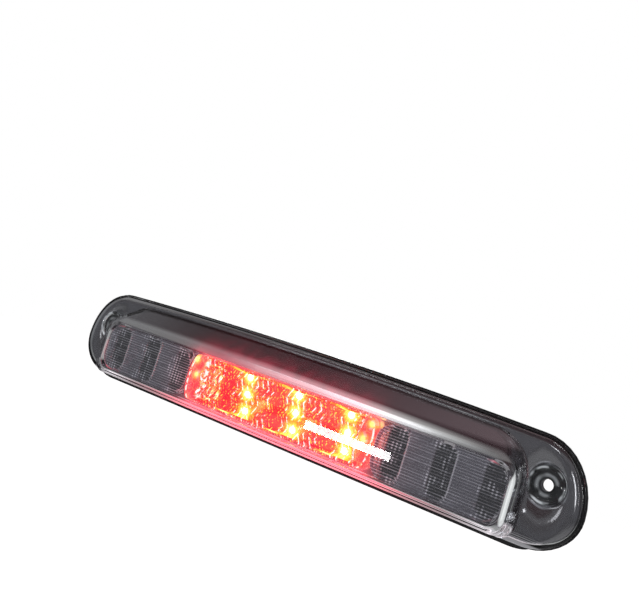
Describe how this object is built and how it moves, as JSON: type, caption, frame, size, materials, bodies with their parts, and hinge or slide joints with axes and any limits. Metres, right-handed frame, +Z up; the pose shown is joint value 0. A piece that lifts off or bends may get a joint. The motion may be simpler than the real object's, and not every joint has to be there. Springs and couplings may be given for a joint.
{
  "type": "third brake light",
  "caption": "Long clear-lensed third brake light with a red centre lamp, a fluted cargo lamp at each side and screw ears, for the rear of a pickup cab.",
  "frame": {"origin": "midway between the two screw holes, on the mounting face of the gasket", "axes": "+X along the lamp, to the right as seen from in front of the lens; -Y out of the lens along the screws; +Z up as mounted"},
  "size_m": [0.465, 0.073, 0.0815],
  "materials": {
    "clear_polycarbonate": "clear, polished",
    "seal_butyl": "soft sealant bead",
    "black_plastic": "fine moulded texture",
    "gasket_foam": "closed-cell foam",
    "zinc_steel": "zinc plated",
    "black_steel": "black coated steel",
    "bezel_chrome": "vacuum metallised, slightly dark",
    "brake_lens_acrylic": "clear red tint with prisms",
    "fluted_acrylic": "clear with horizontal flutes",
    "reflector_metal": "vacuum metallised",
    "cargo_reflector_metal": "dark metallised cups",
    "led_red": "lit red diode",
    "led_white": "unlit white diode",
    "circuit_board": "solder mask",
    "resistor_body": "lacquered ceramic",
    "chip_body": "moulded epoxy",
    "capacitor_can": "drawn can",
    "jumper_insulation": "extruded insulation",
    "connector_plastic": "glass-filled nylon",
    "pin_brass": "tin flashed brass",
    "seal_silicone": "moulded silicone",
    "membrane": "porous film"
  },
  "bodies": {
    "root": {"outer_lens": "clear_polycarbonate", "lens_seal": "seal_butyl", "rear_housing": "black_plastic", "mounting_gasket": "gasket_foam", "compression_sleeves": "black_steel", "chrome_bezel": "bezel_chrome", "brake_inner_lens": "brake_lens_acrylic", "cargo_lens_left": "fluted_acrylic", "cargo_lens_right": "fluted_acrylic", "brake_reflector": "reflector_metal", "cargo_reflector_left": "cargo_reflector_metal", "cargo_reflector_right": "cargo_reflector_metal", "brake_leds": "led_red", "cargo_leds_left": "led_white", "cargo_leds_right": "led_white", "brake_circuit_board": "circuit_board", "cargo_board_left": "circuit_board", "cargo_board_right": "circuit_board", "brake_resistors": "resistor_body", "cargo_resistors": "resistor_body", "voltage_regulator": "chip_body", "protection_diode": "chip_body", "filter_capacitor": "capacitor_can", "board_jumpers": "jumper_insulation", "board_screws": "zinc_steel", "housing_screws": "zinc_steel", "connector_socket": "connector_plastic", "connector_pins": "pin_brass", "connector_seal": "seal_silicone", "breather_membranes": "membrane"}
  },
  "joints": []
}
